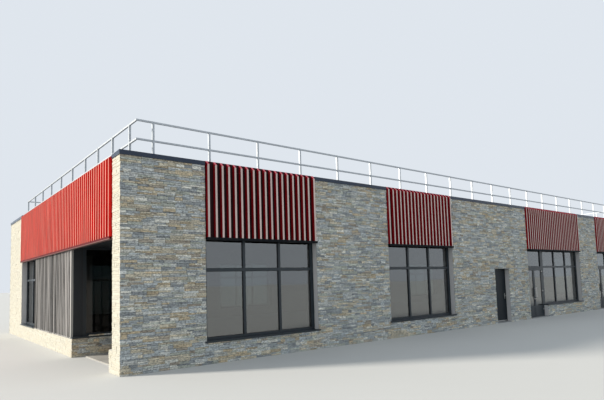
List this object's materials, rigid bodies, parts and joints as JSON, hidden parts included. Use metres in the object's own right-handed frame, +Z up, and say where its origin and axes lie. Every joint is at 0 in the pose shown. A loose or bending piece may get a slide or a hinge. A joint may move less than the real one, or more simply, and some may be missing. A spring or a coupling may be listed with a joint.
{
  "type": "supermarket building",
  "caption": "Flat-roofed supermarket building with stone-faced walls, red ribbed fascia panels over the windows, a corner porch, glazed shopfronts and a roof guardrail.",
  "frame": {"origin": "middle of the footprint at ground level, the bottom centre of the bounding box", "axes": "+X along the front towards its right end as seen from outside, +Y from the front to the rear, +Z up"},
  "size_m": [31.489, 14.354, 5.675],
  "materials": {
    "stone": "split-face ledge stone strips",
    "render": "smooth render",
    "concrete": "floated concrete",
    "roofing": "mineral-faced roofing felt",
    "red_panel": "satin coil coating, pale rib fronts",
    "coping_metal": "satin powder coat",
    "frame_metal": "satin powder coat",
    "dark_trim": "satin coated sheet",
    "door_metal": "satin powder coat",
    "grey_cladding": "matt coil coating",
    "galvanised": "hot-dip galvanised",
    "handle_metal": "brushed stainless",
    "glass": "reflective solar-control double glazing"
  },
  "bodies": {
    "building": {"floor_slab": "concrete", "thresholds": "frame_metal", "front_piers": "stone", "rear_piers": "stone", "side_piers": "stone", "low_walls": "stone", "porch_low_wall": "stone", "lintels": "stone", "left_fascia_beam": "render", "left_clad_wall": "dark_trim", "porch_soffit": "dark_trim", "porch_side_lintel": "render", "porch_back_lintel": "render", "roof_deck": "roofing", "front_coping": "coping_metal", "rear_coping": "coping_metal", "left_coping": "coping_metal", "right_coping": "coping_metal", "front_guardrail": "galvanised", "rear_guardrail": "galvanised", "left_guardrail": "galvanised", "right_guardrail": "galvanised", "front_fin_panels": "red_panel", "left_fin_panel": "red_panel", "rear_fin_panels": "red_panel", "right_fin_panels": "red_panel", "panel_flashings": "dark_trim", "window_frames": "frame_metal", "window_glass": "glass", "shopfront_frames": "frame_metal", "shopfront_glass": "glass", "entrance_posts": "frame_metal", "service_door_frame": "frame_metal", "window_sills": "frame_metal", "left_cladding": "grey_cladding", "porch_window_frame": "frame_metal", "porch_window_glass": "glass", "porch_screen_frame": "frame_metal", "porch_screen_glass": "glass"},
    "service_door_leaf": {"service_door": "door_metal", "service_door_fittings": "handle_metal"},
    "entrance_1_left_door": {"entrance_1_left_leaf": "frame_metal", "entrance_1_left_glass": "glass", "entrance_1_left_fittings": "handle_metal"},
    "entrance_1_right_door": {"entrance_1_right_leaf": "frame_metal", "entrance_1_right_glass": "glass", "entrance_1_right_fittings": "handle_metal"},
    "entrance_2_left_door": {"entrance_2_left_leaf": "frame_metal", "entrance_2_left_glass": "glass", "entrance_2_left_fittings": "handle_metal"},
    "entrance_2_right_door": {"entrance_2_right_leaf": "frame_metal", "entrance_2_right_glass": "glass", "entrance_2_right_fittings": "handle_metal"}
  },
  "joints": [
    {"name": "service_door_hinge", "type": "hinge", "parent": "building", "child": "service_door_leaf", "pos_m": [-1.17, -6.947, 1.05], "axis": [0, 0, -1], "range_deg": [0, 90]},
    {"name": "entrance_1_left_hinge", "type": "hinge", "parent": "building", "child": "entrance_1_left_door", "pos_m": [1.47, -6.947, 1.05], "axis": [0, 0, -1], "range_deg": [0, 90]},
    {"name": "entrance_1_right_hinge", "type": "hinge", "parent": "building", "child": "entrance_1_right_door", "pos_m": [2.895, -6.947, 1.05], "axis": [0, 0, 1], "range_deg": [0, 90]},
    {"name": "entrance_2_left_hinge", "type": "hinge", "parent": "building", "child": "entrance_2_left_door", "pos_m": [8.66, -6.947, 1.05], "axis": [0, 0, -1], "range_deg": [0, 90]},
    {"name": "entrance_2_right_hinge", "type": "hinge", "parent": "building", "child": "entrance_2_right_door", "pos_m": [10.085, -6.947, 1.05], "axis": [0, 0, 1], "range_deg": [0, 90]}
  ]
}
